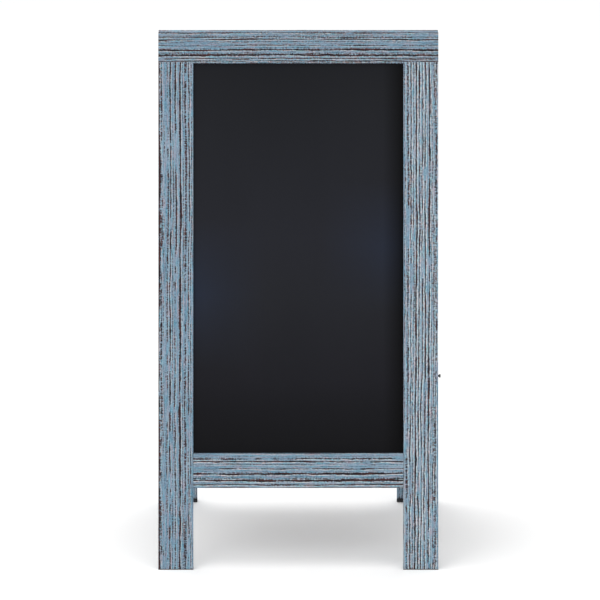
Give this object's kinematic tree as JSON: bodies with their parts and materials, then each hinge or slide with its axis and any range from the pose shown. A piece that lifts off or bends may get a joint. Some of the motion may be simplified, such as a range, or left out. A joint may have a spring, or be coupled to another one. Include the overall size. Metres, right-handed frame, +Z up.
{
  "type": "folding a-frame chalkboard sign",
  "caption": "Folding A-frame chalkboard sign: framed writing panels hinged at the top, with folding stays, rubber feet and a side carrying latch.",
  "frame": {"origin": "on the floor, midway between the four feet", "axes": "+Z up, the front panel faces -Y, +X to the right of someone facing the front; the carrying latch is on the +X edge"},
  "size_m": [0.5124, 0.4712, 0.9491],
  "materials": {
    "painted_wood": "wire-brushed, blue-grey wash over dark brown, worn at the grain",
    "chalk_surface": "matte charcoal writing paint",
    "hardboard": "smooth brown hardboard",
    "dowel_wood": "bare hardwood",
    "rubber": "matte black",
    "black_steel": "satin black",
    "zinc_steel": "bright zinc"
  },
  "bodies": {
    "front_frame": {"front_backer_board": "hardboard", "front_bottom_rail": "painted_wood", "front_frame_dowels": "dowel_wood", "front_hinge_screws": "black_steel", "front_left_foot": "rubber", "front_left_hinge_leaf": "black_steel", "front_left_stay_screw": "zinc_steel", "front_left_stay_spacer": "zinc_steel", "front_left_stile": "painted_wood", "front_right_foot": "rubber", "front_right_hinge_leaf": "black_steel", "front_right_stay_screw": "zinc_steel", "front_right_stay_spacer": "zinc_steel", "front_right_stile": "painted_wood", "front_top_rail": "painted_wood", "front_writing_sheet": "chalk_surface", "latch_catch_stud": "black_steel", "left_hinge_pin": "black_steel", "right_hinge_pin": "black_steel"},
    "rear_frame": {"latch_pivot_screw": "black_steel", "latch_washer": "black_steel", "rear_backer_board": "hardboard", "rear_bottom_rail": "painted_wood", "rear_frame_dowels": "dowel_wood", "rear_hinge_screws": "black_steel", "rear_left_foot": "rubber", "rear_left_hinge_leaf": "black_steel", "rear_left_stay_screw": "zinc_steel", "rear_left_stay_spacer": "zinc_steel", "rear_left_stile": "painted_wood", "rear_right_foot": "rubber", "rear_right_hinge_leaf": "black_steel", "rear_right_stay_screw": "zinc_steel", "rear_right_stay_spacer": "zinc_steel", "rear_right_stile": "painted_wood", "rear_top_rail": "painted_wood", "rear_writing_sheet": "chalk_surface"},
    "front_left_stay": {"front_left_stay": "black_steel", "front_left_stay_rivet": "zinc_steel"},
    "front_right_stay": {"front_right_stay": "black_steel", "front_right_stay_rivet": "zinc_steel"},
    "rear_left_stay": {"rear_left_stay": "black_steel", "rear_left_stay_rivet": "zinc_steel"},
    "rear_right_stay": {"rear_right_stay": "black_steel", "rear_right_stay_rivet": "zinc_steel"},
    "latch_hook": {"latch_hook": "black_steel"}
  },
  "joints": [
    {"name": "fold", "type": "hinge", "parent": "front_frame", "child": "rear_frame", "pos_m": [0, 0, 0.94181], "axis": [-1, 0, 0], "range_deg": [0, 26.2]},
    {"name": "front_left_stay_swing", "type": "hinge", "parent": "front_frame", "child": "front_left_stay", "pos_m": [-0.1876, -0.13709, 0.37565], "axis": [-1, 0, 0], "range_deg": [0, 100.94]},
    {"name": "rear_left_stay_swing", "type": "hinge", "parent": "rear_frame", "child": "rear_left_stay", "pos_m": [-0.1876, 0.13709, 0.37565], "axis": [1, 0, 0], "range_deg": [0, 100.94]},
    {"name": "front_right_stay_swing", "type": "hinge", "parent": "front_frame", "child": "front_right_stay", "pos_m": [0.1876, -0.13709, 0.37565], "axis": [-1, 0, 0], "range_deg": [0, 100.94]},
    {"name": "rear_right_stay_swing", "type": "hinge", "parent": "rear_frame", "child": "rear_right_stay", "pos_m": [0.1876, 0.13709, 0.37565], "axis": [1, 0, 0], "range_deg": [0, 100.94]},
    {"name": "latch_hook_swing", "type": "hinge", "parent": "rear_frame", "child": "latch_hook", "pos_m": [0.255, 0.14906, 0.34096], "axis": [-1, 0, 0], "range_deg": [-45, 76.9]}
  ],
  "couplings": [
    {"joint": "front_left_stay_swing", "follows": "fold", "ratio": 3.8521},
    {"joint": "rear_left_stay_swing", "follows": "fold", "ratio": 3.8521},
    {"joint": "front_right_stay_swing", "follows": "fold", "ratio": 3.8521},
    {"joint": "rear_right_stay_swing", "follows": "fold", "ratio": 3.8521}
  ]
}
